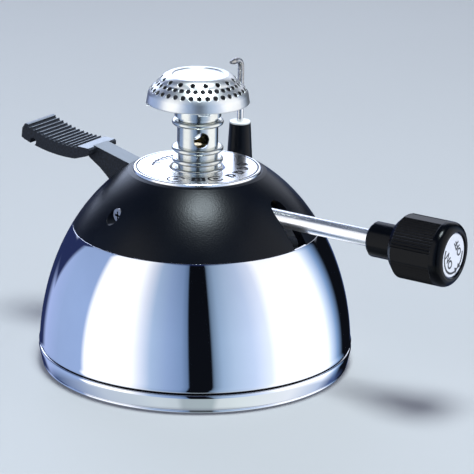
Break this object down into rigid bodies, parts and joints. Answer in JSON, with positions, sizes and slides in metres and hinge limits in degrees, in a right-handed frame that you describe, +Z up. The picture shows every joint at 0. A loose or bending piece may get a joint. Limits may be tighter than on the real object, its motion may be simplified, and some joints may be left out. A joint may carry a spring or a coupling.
{
  "type": "bunsen burner",
  "caption": "Table-top butane burner: domed chrome tank housing, black cap, steel burner tube with perforated head, control knob on a long stem, igniter lever and spark electrode.",
  "frame": {"origin": "on the burner tube's vertical axis, in the plane of the feet's soles", "axes": "+Z up along the burner tube, +X along the control stem towards the knob, -X towards the ignition lever's pad, +Y towards the spark electrode"},
  "size_m": [0.1437, 0.092, 0.0872],
  "materials": {
    "chromed_steel": "mirror-polished chrome plate",
    "cap_plastic": "fine matt texture",
    "lever_plastic": "fine matt texture, black",
    "knob_plastic": "black, satin gloss",
    "plate_steel": "polished nickel plate",
    "tube_steel": "satin stainless",
    "head_steel": "satin stainless",
    "spring_steel": "bright wire",
    "screw_steel": "zinc-plated",
    "brass": "turned",
    "ceramic": "glazed white",
    "dial_metal": "fine satin",
    "tank_resin": "natural moulded resin",
    "felt": "dense felt",
    "rubber": "matt black",
    "chassis_steel": "zinc-passivated pressed sheet",
    "piezo_plastic": "moulded",
    "piezo_ceramic": "fired ceramic",
    "lead_jacket": "silicone"
  },
  "bodies": {
    "burner": {"base_ring": "chromed_steel", "bottom_plate": "chassis_steel", "rubber_feet": "rubber", "bottom_screws": "screw_steel", "lower_shell": "chromed_steel", "upper_cap": "cap_plastic", "cap_screws": "screw_steel", "top_plate": "plate_steel", "tank_lower": "tank_resin", "tank_upper": "tank_resin", "refill_valve_body": "brass", "refill_seal": "rubber", "refill_spring": "spring_steel", "valve_body": "brass", "valve_gasket": "rubber", "flow_filter": "felt", "wick": "felt", "valve_nut": "brass", "gland_nut": "brass", "stem_seal": "rubber", "jet_holder": "brass", "gas_jet": "brass", "burner_collar": "tube_steel", "mixing_tube": "tube_steel", "head_pan": "head_steel", "head_gauze": "spring_steel", "head_cap": "head_steel", "ceramic_insulator": "ceramic", "electrode_rod": "screw_steel", "lead_ferrule": "brass", "ignition_lead": "lead_jacket", "chassis_plate": "chassis_steel", "lever_pin": "screw_steel", "piezo_housing": "piezo_plastic", "piezo_crystal": "piezo_ceramic", "piezo_spring": "spring_steel"},
    "knob": {"control_stem": "plate_steel", "knob_grip": "knob_plastic", "knob_dial": "dial_metal", "knob_set_screw": "screw_steel"},
    "needle": {"valve_needle": "brass"},
    "lever": {"ignition_lever": "lever_plastic"},
    "plunger": {"piezo_plunger": "piezo_plastic"},
    "sleeve": {"air_sleeve": "tube_steel"},
    "refill_pin": {"refill_stem": "brass"}
  },
  "joints": [
    {"name": "knob_turn", "type": "hinge", "parent": "burner", "child": "knob", "pos_m": [0, 0, 0.0485], "axis": [1, 0, 0], "range_deg": [0, 540]},
    {"name": "needle_slide", "type": "slide", "parent": "burner", "child": "needle", "axis": [1, 0, 0], "range_m": [0, 0.0008]},
    {"name": "lever_press", "type": "hinge", "parent": "burner", "child": "lever", "pos_m": [-0.013, 0, 0.045], "axis": [0, -1, 0], "range_deg": [0, 13], "stiffness_Nm_per_rad": 0.5, "springref_deg": -5.73},
    {"name": "plunger_slide", "type": "slide", "parent": "burner", "child": "plunger", "axis": [0, 0, -1], "range_m": [0, 0.003], "deforming": ["piezo_spring"]},
    {"name": "air_sleeve_turn", "type": "hinge", "parent": "burner", "child": "sleeve", "pos_m": [0, 0, 0.0682], "axis": [0, 0, 1], "range_deg": [-5, 85]},
    {"name": "refill_press", "type": "slide", "parent": "burner", "child": "refill_pin", "axis": [0, 0, 1], "range_m": [0, 0.0015], "stiffness_N_per_m": 300, "springref_m": -0.002, "deforming": ["refill_spring"]}
  ],
  "couplings": [
    {"joint": "needle_slide", "follows": "knob_turn", "m_per_rad": 0.000079577},
    {"joint": "plunger_slide", "follows": "lever_press", "m_per_rad": 0.01235}
  ]
}
